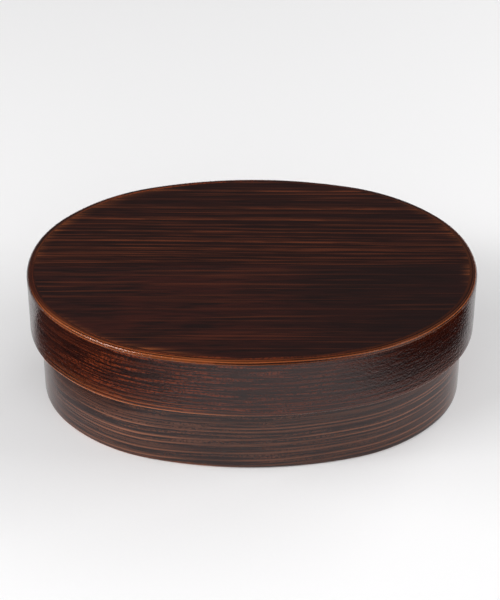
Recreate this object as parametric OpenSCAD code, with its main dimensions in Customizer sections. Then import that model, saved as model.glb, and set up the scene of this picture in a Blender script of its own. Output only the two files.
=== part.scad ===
// Oval bentwood lunch box with a deep overlapping lid, lacquered dark over open grain.
// Two strips are bent into hoops and laced with bark at the back, boards close the lid's top
// and the box's bottom, and a loose board divides the inside.
// Origin: centre of the underside. +X is the long axis, +Y the back, +Z up.

/* [Oval] */
// Outside length of the lid, end to end
lid_length = 185; // [170:1:215]
// Outside width of the lid, front to back
lid_width = 125; // [114:1:136]
// Half of the angle that each end arc turns through
end_turn = 41.3; // [36:0.1:46]
// Angle from the long axis at which a shoulder arc meets a side arc
shoulder_turn = 74.4; // [71:0.1:78]
// Radius of the shoulder arcs for each unit of the end arcs' radius
shoulder_ratio = 1.44; // [1.2:0.01:1.6]

/* [Lid] */
// Height of the lid's hoop
lid_hoop_h = 28; // [24:0.5:38]
// Thickness of the lid's hoop
lid_wall = 4; // [3:0.1:5]
// Thickness of the lid's top planks
lid_board_t = 5; // [4:0.1:7]
// Rounding of the lid's top outer edge
lid_rim_r = 2; // [0.8:0.1:2.4]
// Gap between the inside of the lid and the outside of the box
lid_clearance = 0.5; // [0.4:0.05:1.2]

/* [Box] */
// Height of the box's hoop, whose rim carries the lid's planks
box_hoop_h = 54.5; // [46:0.5:75]
// Thickness of the box's hoop
box_wall = 4; // [3:0.1:5]
// Thickness of the bottom planks
bottom_t = 5; // [4:0.1:7]
// Rounding of the hoops' other edges
edge_r = 0.8; // [0.3:0.1:1.2]

/* [Board joints] */
// Depth of the rabbet in a hoop that a board sits in
rabbet_depth = 0.8; // [0.5:0.1:1.4]
// Glue line between a board's edge and its rabbet
glue_gap = 0.1; // [0.05:0.05:0.2]

/* [Laced seams] */
// Length over which the two ends of a bent strip lap
lap_length = 36; // [26:1:40]
// Glue line between the lapped ends
lap_gap = 0.15; // [0.1:0.05:0.25]
// Thickness of the bark strip
bark_t = 0.6; // [0.4:0.05:0.8]
// Width of the bark strip
bark_w = 4.2; // [3:0.1:5]
// Gap around the bark in its slits and recesses
bark_gap = 0.1; // [0.05:0.05:0.15]
// Height that the outer stitches stand proud of the hoop
stitch_proud = 0.15; // [0.05:0.05:0.2]
// Depth of the inner runs of bark below the hoop's inner face
inner_sink = 0.05; // [0.02:0.01:0.2]
// Width of a stitch between the middles of its two slits
stitch_span = 9; // [7:0.5:12]
// Distance from one stitch to the next
stitch_pitch = 6; // [5.6:0.1:8]
// Least distance from a stitch's middle to the edge or board next to it
stitch_margin = 5.5; // [4:0.5:8]

/* [Divider] */
// Thickness of the divider
divider_t = 3; // [2:0.1:5]
// Distance of the divider's seats from the middle of the box
divider_offset = 20; // [12:1:30]
// Distance from the box's rim down to the divider's top
divider_drop = 9; // [5:0.5:15]
// Gap between the divider's ends and the hoop at its seats
divider_gap = 0.3; // [0.2:0.05:0.6]
// Rounding of the divider's long edges
divider_edge_r = 0.8; // [0.3:0.1:0.9]

/* [Hidden] */
$fa = 2;
$fs = 0.4;

// Colours
lacquer_red = "#4b2a20";
lacquer_dark = "#36211d";
lacquer_black = "#2f201c";
bark_brown = "#5a3322";

// Margin by which a cut runs past what it cuts
over = 1;
// Coarse step of the places of the arcs
place_step = 0.001;

// The oval is eight arcs that meet smoothly: two ends, four shoulders and two sides.
// The end and side radii follow from its half length and half width.
half_l = lid_length / 2;
half_w = lid_width / 2;
end_x = 1 - (1 - shoulder_ratio) * cos(end_turn) - shoulder_ratio * cos(shoulder_turn);
end_y = (1 - shoulder_ratio) * sin(end_turn) + shoulder_ratio * sin(shoulder_turn);
side_x = cos(shoulder_turn);
side_y = 1 - sin(shoulder_turn);
spread = end_x * side_y - side_x * end_y;
end_r = (half_l * side_y - side_x * half_w) / spread;
side_r = (end_x * half_w - end_y * half_l) / spread;
shoulder_r = shoulder_ratio * end_r;

end_cx = half_l - end_r;
shoulder_cx = end_cx + (end_r - shoulder_r) * cos(end_turn);
shoulder_cy = (end_r - shoulder_r) * sin(end_turn);
side_cy = half_w - side_r;
shoulder_sweep = shoulder_turn - end_turn;
side_sweep = 180 - 2 * shoulder_turn;

// Each arc: centre, radius, starting angle and angle swept, anticlockwise from the right end
oval_arcs = [
    [[end_cx, 0], end_r, -end_turn, 2 * end_turn],
    [[shoulder_cx, shoulder_cy], shoulder_r, end_turn, shoulder_sweep],
    [[0, side_cy], side_r, shoulder_turn, side_sweep],
    [[-shoulder_cx, shoulder_cy], shoulder_r, 180 - shoulder_turn, shoulder_sweep],
    [[-end_cx, 0], end_r, 180 - end_turn, 2 * end_turn],
    [[-shoulder_cx, -shoulder_cy], shoulder_r, 180 + end_turn, shoulder_sweep],
    [[0, -side_cy], side_r, 180 + shoulder_turn, side_sweep],
    [[shoulder_cx, -shoulder_cy], shoulder_r, 360 - shoulder_turn, shoulder_sweep]
];

// Insets are measured inwards from the lid's outside.
lid_inner = lid_wall;
box_outer = lid_wall + lid_clearance;
box_inner = box_outer + box_wall;
lid_board_inset = lid_inner - rabbet_depth + glue_gap;
bottom_inset = box_inner - rabbet_depth + glue_gap;
// Width of the band along a board's edge that follows the oval exactly
board_band = end_r / 3;

// Heights
total_h = box_hoop_h + lid_board_t;
lid_low = total_h - lid_hoop_h;
lid_seat = box_hoop_h;
divider_h = box_hoop_h - bottom_t - divider_drop;

// Half length of the divider to the centres of its round ends, which clear the hoop at a seat
divider_reach = side_r - box_inner - divider_gap - divider_t / 2;
divider_half = side_cy + sqrt(pow(divider_reach, 2) - pow(divider_offset, 2));

// Angle that a length takes up on an arc
function arc_angle(length, radius) = length / radius * 180 / PI;

// Point at a share of the way along an arc of the oval, at an inset
function arc_point(arc, share, inset) =
    let (angle = arc[2] + share * arc[3])
    arc[0] + (arc[1] - inset) * [cos(angle), sin(angle)];

// Middles of the stitches that fit between two heights
function stitch_heights(low, high) =
    let (
        gaps = floor((high - low - 2 * stitch_margin) / stitch_pitch),
        first = (low + high - gaps * stitch_pitch) / 2
    )
    [for (i = [0 : gaps]) first + i * stitch_pitch];

// Moves by a vector in a coarse and a fine step, so that the arcs meet to the last digit
module placed(at) {
    coarse = [for (value = at) round(value / place_step) * place_step];
    translate(coarse)
        translate(at - coarse)
            children();
}

// Carries a section right round the oval. Its X is measured outwards from the lid's outside.
module around_oval() {
    for (arc = oval_arcs)
        placed(arc[0])
            rotate_extrude(angle = arc[3], start = arc[2])
                placed([arc[1], 0])
                    children();
}

// Section of a strip with four rounded corners
module strip_section(x0, x1, z0, z1, low_in, low_out, top_out, top_in) {
    polygon([
        [x0 + low_in, z0], [x1 - low_out, z0],
        [x1, z0 + low_out], [x1, z1 - top_out],
        [x1 - top_out, z1], [x0 + top_in, z1],
        [x0, z1 - top_in], [x0, z0 + low_in]
    ]);
    translate([x0 + low_in, z0 + low_in]) circle(low_in);
    translate([x1 - low_out, z0 + low_out]) circle(low_out);
    translate([x1 - top_out, z1 - top_out]) circle(top_out);
    translate([x0 + top_in, z1 - top_in]) circle(top_in);
}

// Oval board with its underside at a height
module oval_board(inset, z, thickness) {
    around_oval()
        translate([-inset - board_band, z])
            square([board_band, thickness]);
    core_inset = inset + board_band / 2;
    core = [for (arc = oval_arcs) for (share = [0, 0.5]) arc_point(arc, share, core_inset)];
    translate([0, 0, z])
        linear_extrude(thickness)
            polygon(core);
}

// Keeps the half of a board in front of (side -1) or behind (side 1) the glued joint
module half_board(side) {
    intersection() {
        children();
        translate([-lid_length, side < 0 ? -lid_width : 0, -total_h])
            cube([2 * lid_length, lid_width, 3 * total_h]);
    }
}

// Part of a tube about the back side's arc, between two angles from the middle of the back
module back_sector(r0, r1, z0, z1, from, to) {
    placed([0, side_cy])
        rotate_extrude(angle = to - from, start = 90 + from)
            placed([r0, z0])
                square([r1 - r0, z1 - z0]);
}

// Glue line of a strip's lapped ends: it steps through the wall at half its thickness
module lap_line(outer, wall, z0, z1) {
    r_out = side_r - outer;
    r_mid = r_out - wall / 2;
    half_lap = arc_angle(lap_length / 2, r_out);
    gap = arc_angle(lap_gap, r_out);
    low = z0 - over;
    high = z1 + over;
    back_sector(r_mid - lap_gap / 2, r_mid + lap_gap / 2, low, high, -half_lap, half_lap);
    back_sector(r_mid - lap_gap / 2, r_out + over, low, high, half_lap - gap, half_lap);
    back_sector(r_out - wall - over, r_mid + lap_gap / 2, low, high, -half_lap, gap - half_lap);
}

// Bark strip: a stitch outside at each height, and a slanting run inside to the next one.
// A grow of more than zero makes the room that it needs in the hoop.
module lacing(outer, wall, heights, grow) {
    r_out = side_r - outer;
    r_in = r_out - wall;
    half_span = arc_angle(stitch_span / 2, r_out);
    half_leg = arc_angle(bark_t / 2 + grow, r_out);
    half_h = bark_w / 2 + grow;
    proud = grow > 0 ? over : stitch_proud;
    run_low = grow > 0 ? -over : inner_sink;
    run_x = stitch_span / 2 + bark_t / 2 + grow;
    for (z = heights) {
        back_sector(r_out + stitch_proud - bark_t - grow, r_out + proud,
            z - half_h, z + half_h, -half_span - half_leg, half_span + half_leg);
        for (side = [-1, 1])
            back_sector(r_in + run_low, r_out,
                z - half_h, z + half_h, side * half_span - half_leg, side * half_span + half_leg);
    }
    for (i = [1 : len(heights) - 1])
        intersection() {
            back_sector(r_in + run_low, r_in + inner_sink + bark_t + grow,
                heights[i - 1] - bark_w, heights[i] + bark_w, -2 * half_span, 2 * half_span);
            translate([0, half_w, 0])
                rotate([90, 0, 0])
                    linear_extrude(half_w)
                        polygon([
                            [-run_x, heights[i - 1] - half_h], [run_x, heights[i] - half_h],
                            [run_x, heights[i] + half_h], [-run_x, heights[i - 1] + half_h]
                        ]);
        }
}

// A bent strip, its section given as a child, cut for its lap and its lacing
module laced_hoop(outer, wall, z0, z1, heights) {
    difference() {
        around_oval() children();
        lap_line(outer, wall, z0, z1);
        lacing(outer, wall, heights, bark_gap);
    }
}

lid_stitches = stitch_heights(lid_low, lid_seat);
box_stitches = stitch_heights(bottom_t, box_hoop_h);

module lid_hoop() {
    color(lacquer_red)
        laced_hoop(0, lid_wall, lid_low, total_h, lid_stitches)
            difference() {
                strip_section(-lid_inner, 0, lid_low, total_h, edge_r, edge_r, lid_rim_r, edge_r);
                translate([-lid_inner - over, lid_seat])
                    square([rabbet_depth + over, lid_board_t + over]);
            }
}

module lid_top_plank(side) {
    half_board(side)
        oval_board(lid_board_inset, lid_seat, lid_board_t);
}

module lid_top_plank_front() {
    color(lacquer_black) lid_top_plank(-1);
}

module lid_top_plank_back() {
    color(lacquer_dark) lid_top_plank(1);
}

module lid_seam_lacing() {
    color(bark_brown) lacing(0, lid_wall, lid_stitches, 0);
}

module box_hoop() {
    color(lacquer_dark)
        laced_hoop(box_outer, box_wall, 0, box_hoop_h, box_stitches)
            difference() {
                strip_section(-box_inner, -box_outer, 0, box_hoop_h, edge_r, edge_r, edge_r, edge_r);
                translate([-box_inner - over, -over])
                    square([rabbet_depth + over, bottom_t + over]);
            }
}

module bottom_plank(side) {
    half_board(side)
        oval_board(bottom_inset, 0, bottom_t);
}

module bottom_plank_front() {
    color(lacquer_black) bottom_plank(-1);
}

module bottom_plank_back() {
    color(lacquer_dark) bottom_plank(1);
}

module box_seam_lacing() {
    color(bark_brown) lacing(box_outer, box_wall, box_stitches, 0);
}

// Upright board with rounded long edges and half-round ends, at its right-hand seat
module divider_board() {
    color(lacquer_red)
        translate([divider_offset, 0, bottom_t])
            intersection() {
                linear_extrude(divider_h) {
                    square([divider_t, 2 * divider_half], center = true);
                    for (side = [-1, 1])
                        translate([0, side * divider_half]) circle(divider_t / 2);
                }
                translate([0, half_w, 0])
                    rotate([90, 0, 0])
                        linear_extrude(lid_width)
                            strip_section(-divider_t / 2, divider_t / 2, 0, divider_h,
                                divider_edge_r, divider_edge_r, divider_edge_r, divider_edge_r);
            }
}

lid_hoop();
lid_top_plank_front();
lid_top_plank_back();
lid_seam_lacing();
box_hoop();
bottom_plank_front();
bottom_plank_back();
box_seam_lacing();
divider_board();
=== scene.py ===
"""Oval bentwood lunch box with a deep lid, wiped dark lacquer over open grain, on a pale studio floor."""
import logging
import math
from dataclasses import dataclass
from enum import Enum
from functools import cache, partial, reduce
from typing import Callable

import bmesh
import bpy
from mathutils import Matrix, Vector


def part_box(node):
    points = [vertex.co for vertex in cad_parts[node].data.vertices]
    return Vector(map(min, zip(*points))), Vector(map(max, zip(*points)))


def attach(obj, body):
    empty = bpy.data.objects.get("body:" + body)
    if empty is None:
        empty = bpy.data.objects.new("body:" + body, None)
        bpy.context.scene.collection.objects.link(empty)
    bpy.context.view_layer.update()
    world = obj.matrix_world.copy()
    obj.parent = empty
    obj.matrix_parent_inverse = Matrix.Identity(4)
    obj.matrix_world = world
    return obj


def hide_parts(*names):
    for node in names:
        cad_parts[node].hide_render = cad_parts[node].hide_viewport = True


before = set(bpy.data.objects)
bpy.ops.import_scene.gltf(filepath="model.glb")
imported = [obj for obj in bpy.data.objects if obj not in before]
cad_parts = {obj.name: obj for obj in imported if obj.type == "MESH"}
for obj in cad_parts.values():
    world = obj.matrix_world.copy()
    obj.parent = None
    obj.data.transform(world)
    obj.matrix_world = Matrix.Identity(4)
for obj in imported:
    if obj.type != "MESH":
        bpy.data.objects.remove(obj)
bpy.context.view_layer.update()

LOG = logging.getLogger("lunch_box")

MM = 0.001
SAME_PLACE = 0.003 * MM
SHARP_ANGLE = math.radians(35.0)
TIPPED_UP = math.pi / 2
ALONG_Y = (0.0, 1.0, 0.0)
UPWARDS = (0.0, 0.0, 1.0)
SPIN_AXIS = (0.0, 0.0, -1.0)

Pair = tuple[float, float]
Triple = tuple[float, float, float]
Colour = Triple
Piece = bpy.types.Object
Material = bpy.types.Material
Socket = bpy.types.NodeSocket
Value = Socket | float
Inputs = dict[str | int, object]
Test = Callable[[Vector], bool]


class Pick(Enum):
    """What a selection is made of."""

    VERTS = "VERT"
    EDGES = "EDGE"
    FACES = "FACE"


class Half(Enum):
    """Which side of the glued joint a plank lies on."""

    FRONT = "front"
    BACK = "back"


@dataclass(frozen=True)
class Ease:
    """A smooth change from one level to another.

    Attributes:
        begin: Value at which it begins.
        end: Value at which it ends, which may be the smaller one.
        before: Level before it.
        after: Level after it.
    """

    begin: float
    end: float
    before: float = 0.0
    after: float = 1.0

    def at(self, value: float) -> float:
        """Works out the level at a value.

        Args:
            value: Value on the scale of begin and end.

        Returns:
            A level between before and after.
        """
        share = min(max((value - self.begin) / (self.end - self.begin), 0.0), 1.0)
        return self.before + (self.after - self.before) * share * share * (3.0 - 2.0 * share)


# Selecting and shaping

def near(a: float, b: float, slack: float = 0.02 * MM) -> bool:
    """Says whether two lengths are the same to within the slack."""
    return abs(a - b) < slack


def name_piece(piece: Piece, name: str) -> None:
    """Names an object and its mesh alike."""
    piece.name = name
    piece.data.name = name


def select_only(*pieces: Piece) -> None:
    """Selects just some pieces, in object mode.

    Args:
        *pieces: The pieces, of which the first becomes the active one.
    """
    bpy.ops.object.select_all(action="DESELECT")
    for piece in pieces:
        piece.select_set(True)
    bpy.context.view_layer.objects.active = pieces[0]


def pick(piece: Piece, kind: Pick, test: Test) -> None:
    """Selects just the parts of a mesh in edit mode whose corners all pass a test.

    Args:
        piece: Object in edit mode.
        kind: Vertices, edges or faces.
        test: Test of a corner's place.
    """
    bpy.ops.mesh.select_mode(type=kind.value)
    bpy.ops.mesh.select_all(action="DESELECT")
    mesh = bmesh.from_edit_mesh(piece.data)
    parts = {Pick.VERTS: mesh.verts, Pick.EDGES: mesh.edges, Pick.FACES: mesh.faces}[kind]
    for part in parts:
        corners = [part] if kind is Pick.VERTS else part.verts
        if all(test(corner.co) for corner in corners):
            part.select_set(True)
    mesh.select_flush_mode()
    bmesh.update_edit_mesh(piece.data)


def plane(name: str, size: Vector, middle: Vector, tip: float = 0.0) -> Piece:
    """Adds a plane at its size and place, and opens it for editing.

    Args:
        name: Name of the new piece.
        size: Its lengths along X and Y before it is tipped.
        middle: Place of its middle.
        tip: How far it is tipped about Y, in radians.

    Returns:
        The new object, in edit mode.
    """
    bpy.ops.object.select_all(action="DESELECT")
    bpy.ops.mesh.primitive_plane_add(size=1.0, rotation=(0.0, tip, 0.0))
    piece = bpy.context.active_object
    name_piece(piece, name)
    piece.scale = (size.x, size.y, 1.0)
    piece.location = middle
    bpy.ops.object.transform_apply(location=True, rotation=True, scale=True)
    bpy.ops.object.mode_set(mode="EDIT")
    return piece


def upright_plane(name: str, inner: float, outer: float, low: float, high: float) -> Piece:
    """Adds a plane across the hoop's wall at the middle of the back, and opens it for editing.

    Args:
        name: Name of the new piece.
        inner: Y of its inner edge.
        outer: Y of its outer edge.
        low: Z of its lower edge.
        high: Z of its upper edge.

    Returns:
        The new object, in edit mode.
    """
    middle = Vector((0.0, (inner + outer) / 2, (low + high) / 2))
    return plane(name, Vector((high - low, outer - inner)), middle, TIPPED_UP)


def round_corner(piece: Piece, y: float, z: float, radius: float, segments: int) -> None:
    """Rounds the corner of a flat section at a place."""
    pick(piece, Pick.VERTS, lambda p: near(p.y, y) and near(p.z, z))
    bpy.ops.mesh.bevel(offset=radius, segments=segments, affect="VERTICES")


def split_long_edges(piece: Piece, limit: float) -> None:
    """Halves the edges of a flat section until none is longer than a limit.

    Args:
        piece: Object in edit mode.
        limit: Longest edge that is left.
    """
    while True:
        bpy.ops.mesh.select_mode(type="EDGE")
        bpy.ops.mesh.select_all(action="DESELECT")
        mesh = bmesh.from_edit_mesh(piece.data)
        long_edges = [edge for edge in mesh.edges if edge.calc_length() > limit]
        if not long_edges:
            return
        for edge in long_edges:
            edge.select_set(True)
        bmesh.update_edit_mesh(piece.data)
        bpy.ops.mesh.subdivide(number_cuts=1)


def merge_meeting_corners() -> None:
    """Selects the whole mesh in edit mode and merges the corners that meet."""
    bpy.ops.mesh.select_all(action="SELECT")
    bpy.ops.mesh.remove_doubles(threshold=SAME_PLACE)


def close_up() -> None:
    """Merges the meeting ends of the mesh in edit mode, turns its faces outwards and leaves edit mode."""
    merge_meeting_corners()
    bpy.ops.mesh.normals_make_consistent(inside=False)
    bpy.ops.object.mode_set(mode="OBJECT")


def smooth(piece: Piece) -> None:
    """Shades a piece smooth across all but its sharp edges."""
    select_only(piece)
    bpy.ops.object.shade_smooth_by_angle(angle=SHARP_ANGLE)


def paint(piece: Piece, name: str, amount: Callable[[Vector], float]) -> None:
    """Stores a value worked out from its place at each vertex of a mesh."""
    layer = piece.data.attributes.new(name, "FLOAT", "POINT")
    layer.data.foreach_set("value", [amount(vertex.co) for vertex in piece.data.vertices])


# The oval, and where hands rub its edges, with a painted highlight at the right end too, in shares of its
# half length and half width

SIDE_RUBBED = 0.06
FRONT_REACHED = Ease(-0.10, -0.70)
FRONT_RUBBED = Ease(0.3, -0.4, 0.464, 0.80)
# Wear at the right end, which also paints the highlight of the light from the right.
RIGHT_END_RUBBED_AND_LIT = Ease(0.65, 0.95, 0.0, 0.30)
BACK_SPARED = Ease(0.4, 0.8, 1.0, 0.0)
LEFT_HELD = Ease(-0.15, -0.50)
LEFT_HELD_AT_BACK = Ease(-0.05, 0.15)
# Softened edge at the right end, which also paints the highlight of the light from the right.
RIGHT_HELD_AND_LIT = Ease(0.45, 0.80, 0.0, 0.80)
RIGHT_HELD_AND_LIT_PAST_FRONT = Ease(-0.45, -0.05)


@dataclass(frozen=True)
class Bend:
    """One arc of the oval, as a strip is bent round it.

    Attributes:
        center: Middle of the arc.
        radius: Radius of the lid's outside.
        start: Direction of its start from the centre, in degrees.
        sweep: Angle that it turns through anticlockwise, in degrees.
    """

    center: Vector
    radius: float
    start: float
    sweep: float


@dataclass(frozen=True)
class Oval:
    """Eight arcs that meet smoothly: two ends, four shoulders and two sides.

    Attributes:
        half_length: Half of the lid's outside length.
        half_width: Half of the lid's outside width.
        end_turn: Half of the angle that an end arc turns through, in degrees.
        shoulder_turn: Angle at which a shoulder meets a side, in degrees.
        shoulder_ratio: Shoulder radius for each unit of end radius.
    """

    half_length: float
    half_width: float
    end_turn: float = 41.3
    shoulder_turn: float = 74.4
    shoulder_ratio: float = 1.44

    @cache
    def radii(self) -> Triple:
        """Works out the radii from the two sums of arcs that give the half length and half width.

        Returns:
            End, shoulder and side radius.
        """
        turn, meet = math.radians(self.end_turn), math.radians(self.shoulder_turn)
        ratio = self.shoulder_ratio
        end_x = 1 - (1 - ratio) * math.cos(turn) - ratio * math.cos(meet)
        end_y = (1 - ratio) * math.sin(turn) + ratio * math.sin(meet)
        side_x, side_y = math.cos(meet), 1 - math.sin(meet)
        spread = end_x * side_y - side_x * end_y
        end = (self.half_length * side_y - side_x * self.half_width) / spread
        side = (end_x * self.half_width - end_y * self.half_length) / spread
        return end, ratio * end, side

    def side_center(self) -> Vector:
        """Centre of the arc along the back."""
        return Vector((0.0, self.half_width - self.radii()[2], 0.0))

    @cache
    def bends(self) -> list[Bend]:
        """Lists the arcs anticlockwise from the middle of the back, which is cut in two there.

        Returns:
            Nine bends that close on themselves.
        """
        end, shoulder, side = self.radii()
        turn = math.radians(self.end_turn)
        end_at = Vector((self.half_length - end, 0.0, 0.0))
        shoulder_at = end_at + (end - shoulder) * Vector((math.cos(turn), math.sin(turn), 0.0))
        side_at = self.side_center()
        flip_x, flip_y, flip_both = Vector((-1, 1, 1)), Vector((1, -1, 1)), Vector((-1, -1, 1))
        half_side = 90.0 - self.shoulder_turn
        lean = self.shoulder_turn - self.end_turn
        plan = [
            (side_at, side, half_side),
            (shoulder_at * flip_x, shoulder, lean),
            (end_at * flip_x, end, 2 * self.end_turn),
            (shoulder_at * flip_both, shoulder, lean),
            (side_at * flip_y, side, 2 * half_side),
            (shoulder_at * flip_y, shoulder, lean),
            (end_at, end, 2 * self.end_turn),
            (shoulder_at, shoulder, lean),
            (side_at, side, half_side),
        ]
        bends, angle = [], 90.0
        for center, radius, sweep in plan:
            bends.append(Bend(center, radius, angle, sweep))
            angle += sweep
        return bends

    def inset(self, point: Vector) -> float:
        """Measures how far inside the lid's outside a point lies.

        Args:
            point: Place near the edge of the oval.

        Returns:
            Distance inwards along the radius of the nearest arc.
        """
        slack = 0.01
        best = self.half_width
        for bend in self.bends():
            arm = Vector((point.x, point.y)) - bend.center.xy
            turn = (math.degrees(math.atan2(arm.y, arm.x)) - bend.start) % 360.0
            if turn <= bend.sweep + slack or turn >= 360.0 - slack:
                best = min(best, abs(bend.radius - arm.length))
        return best

    def shares(self, point: Vector) -> Pair:
        """Gives a place in shares of the half length and half width."""
        return point.x / self.half_length, point.y / self.half_width

    def rubbing_and_right_highlight(self, point: Vector) -> float:
        """Says how much hands rub the edges near a point: most at the front, and more on its left; at the
        right end the share also paints a highlight.

        Args:
            point: Place on or near the edge.

        Returns:
            A share from 0 to 1.
        """
        x, y = self.shares(point)
        front = FRONT_REACHED.at(y)
        side = SIDE_RUBBED + RIGHT_END_RUBBED_AND_LIT.at(x) * (1.0 - front)
        return side * BACK_SPARED.at(y) + front * FRONT_RUBBED.at(x)

    def held_and_right_highlight(self, point: Vector) -> float:
        """Says how much hands have softened the top's edge near a point: at the back left, and at the right
        end, where it also paints a highlight.

        Args:
            point: Place on or near the edge.

        Returns:
            A share from 0 to 1.
        """
        x, y = self.shares(point)
        left = LEFT_HELD.at(x) * LEFT_HELD_AT_BACK.at(y)
        right = RIGHT_HELD_AND_LIT.at(x) * RIGHT_HELD_AND_LIT_PAST_FRONT.at(y)
        return max(left, right)

    def spin_round(self, step: float) -> None:
        """Spins the section that is selected at the middle of the back right round the oval, arc by arc.

        Args:
            step: Longest step along the outside.
        """
        for bend in self.bends():
            sweep = math.radians(bend.sweep)
            steps = max(2, math.ceil(bend.radius * sweep / step))
            bpy.ops.mesh.spin(steps=steps, angle=sweep, center=bend.center, axis=SPIN_AXIS)


# Finishes

SURFACE_IOR = 1.45
LINE_FALL = 1.7
NOISE_MIDDLE = 0.5


@dataclass(frozen=True)
class Noise:
    """A solid noise from 0 to 1.

    Attributes:
        cells: Cells in a metre along each axis.
        detail: How many finer noises are laid over it.
        rough: How strongly they show, from 0 to 1.
    """

    cells: Triple
    detail: float = 2.0
    rough: float = 0.5


@dataclass(frozen=True)
class GrowthLine:
    """A growth line, sharp on one side and fading out on the other.

    Attributes:
        place: Place across the grain, in millimetres.
        strength: How clearly it shows, from 0 to 1.
        fade: Width of the side that fades, in millimetres, towards larger places.
        sharp: Width of the sharp side, in millimetres.
    """

    place: float
    strength: float
    fade: float
    sharp: float = 0.35


def growth_lines(*rows: tuple[float, ...]) -> tuple[GrowthLine, ...]:
    """Makes growth lines from rows of place, strength, fade and, where it isn't the usual, sharp."""
    return tuple(GrowthLine(*row) for row in rows)


class Graph:
    """Node tree of one finish, built a node at a time."""

    def __init__(self, name: str) -> None:
        """Starts an empty material.

        Args:
            name: Name of the material.
        """
        self.material = bpy.data.materials.new(name)
        self.material.use_nodes = True
        self.nodes = self.material.node_tree.nodes
        self.links = self.material.node_tree.links
        self.nodes.clear()

    def feed(self, socket: Socket, value: object) -> None:
        """Links an input to an output, or sets it to a plain value.

        Args:
            socket: The input.
            value: The output to link it to, or a number, vector or colour.
        """
        if isinstance(value, Socket):
            self.links.new(value, socket)
        elif isinstance(value, tuple) and socket.type == "RGBA":
            socket.default_value = (*value, 1.0)
        else:
            socket.default_value = value

    def add(self, kind: str, output: str | int, inputs: Inputs | None = None, **options: object) -> Socket:
        """Adds a node, sets its options and feeds its inputs.

        Args:
            kind: Type of the node.
            output: Name or number of the output that is wanted.
            inputs: What to feed to its inputs, by their names or numbers.
            **options: Its options.

        Returns:
            That output.
        """
        node = self.nodes.new(kind)
        for option, choice in options.items():
            setattr(node, option, choice)
        for key, value in (inputs or {}).items():
            self.feed(node.inputs[key], value)
        return node.outputs[output]

    def place(self) -> Socket:
        """Object coordinates, in metres."""
        return self.add("ShaderNodeTexCoord", "Object")

    def attribute(self, name: str) -> Socket:
        """A value stored on the mesh."""
        return self.add("ShaderNodeAttribute", "Fac", attribute_name=name)

    def turned(self, vector: Value, degrees: float, shift: Triple = (0.0, 0.0, 0.0)) -> Socket:
        """Turns coordinates about the upright axis and shifts them."""
        inputs = {"Vector": vector, "Rotation": (0.0, 0.0, math.radians(degrees)), "Location": shift}
        return self.add("ShaderNodeMapping", "Vector", inputs)

    def joined(self, x: Value, y: Value, z: Value) -> Socket:
        """Makes a vector of three values."""
        return self.add("ShaderNodeCombineXYZ", 0, {0: x, 1: y, 2: z})

    def axis(self, vector: Value, name: str) -> Socket:
        """One axis of a vector."""
        return self.add("ShaderNodeSeparateXYZ", name, {0: vector})

    def noise(self, vector: Value, noise: Noise) -> Socket:
        """Lays a noise over coordinates.

        Args:
            vector: Coordinates in metres.
            noise: The noise.

        Returns:
            Its value, from 0 to 1.
        """
        cells = self.add("ShaderNodeVectorMath", "Vector", {0: vector, 1: noise.cells}, operation="MULTIPLY")
        inputs = {"Vector": cells, "Scale": 1.0, "Detail": noise.detail, "Roughness": noise.rough}
        return self.add("ShaderNodeTexNoise", 0, inputs, noise_dimensions="3D")

    def arithmetic(self, operation: str, first: Value, second: Value) -> Socket:
        """Arithmetic on two values."""
        return self.add("ShaderNodeMath", 0, {0: first, 1: second}, operation=operation)

    def times(self, *values: Value) -> Socket:
        """Multiplies values."""
        return reduce(partial(self.arithmetic, "MULTIPLY"), values)

    def plus(self, first: Value, second: Value) -> Socket:
        """Adds two values."""
        return self.arithmetic("ADD", first, second)

    def less(self, first: Value, second: Value) -> Socket:
        """Takes the second value from the first."""
        return self.arithmetic("SUBTRACT", first, second)

    def most(self, *values: Value) -> Socket:
        """Takes the largest of some values."""
        return reduce(partial(self.arithmetic, "MAXIMUM"), values)

    def ease(self, value: Value, change: Ease) -> Socket:
        """Takes a value through a smooth change of level.

        Args:
            value: Value on the scale of the change.
            change: The change.

        Returns:
            The level.
        """
        inputs = {
            "Value": value, "From Min": change.begin, "From Max": change.end,
            "To Min": change.before, "To Max": change.after,
        }
        return self.add("ShaderNodeMapRange", "Result", inputs, interpolation_type="SMOOTHSTEP")

    def blend(self, share: Value, start: Socket | Colour, end: Socket | Colour) -> Socket:
        """Mixes two colours."""
        return self.add("ShaderNodeMix", 2, {0: share, 6: start, 7: end}, data_type="RGBA")

    def growth(self, across: Value, lines: tuple[GrowthLine, ...]) -> Value:
        """Marks the growth lines across the grain.

        Args:
            across: Place across the grain, in metres.
            lines: The growth lines.

        Returns:
            How clearly a line shows, from 0 to 1.
        """
        marks: Value = 0.0
        for line in lines:
            start, middle, end = ((line.place + step) * MM for step in (-line.sharp, 0.0, line.fade))
            rise = self.ease(across, Ease(start, middle, 0.0, line.strength))
            fall = self.arithmetic("POWER", self.ease(across, Ease(middle, end, 1.0, 0.0)), LINE_FALL)
            marks = self.most(marks, self.times(rise, fall))
        return marks

    def bump(self, height: Value, depth: float) -> Socket:
        """Turns a height from 0 to 1 into a normal, for a relief of a given depth."""
        return self.add("ShaderNodeBump", "Normal", {"Strength": 1.0, "Distance": depth, "Height": height})

    def ended(self, shader: Socket) -> Material:
        """Ends the tree in a shader.

        Args:
            shader: Output of the shader.

        Returns:
            The finished material.
        """
        output = self.nodes.new("ShaderNodeOutputMaterial")
        self.feed(output.inputs["Surface"], shader)
        return self.material

    def surface(self, colour: Value, roughness: Value, normal: Value) -> Material:
        """Ends the tree in a lacquered or plain surface."""
        inputs = {"Base Color": colour, "Roughness": roughness, "Normal": normal, "IOR": SURFACE_IOR}
        return self.ended(self.add("ShaderNodeBsdfPrincipled", "BSDF", inputs))


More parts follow.
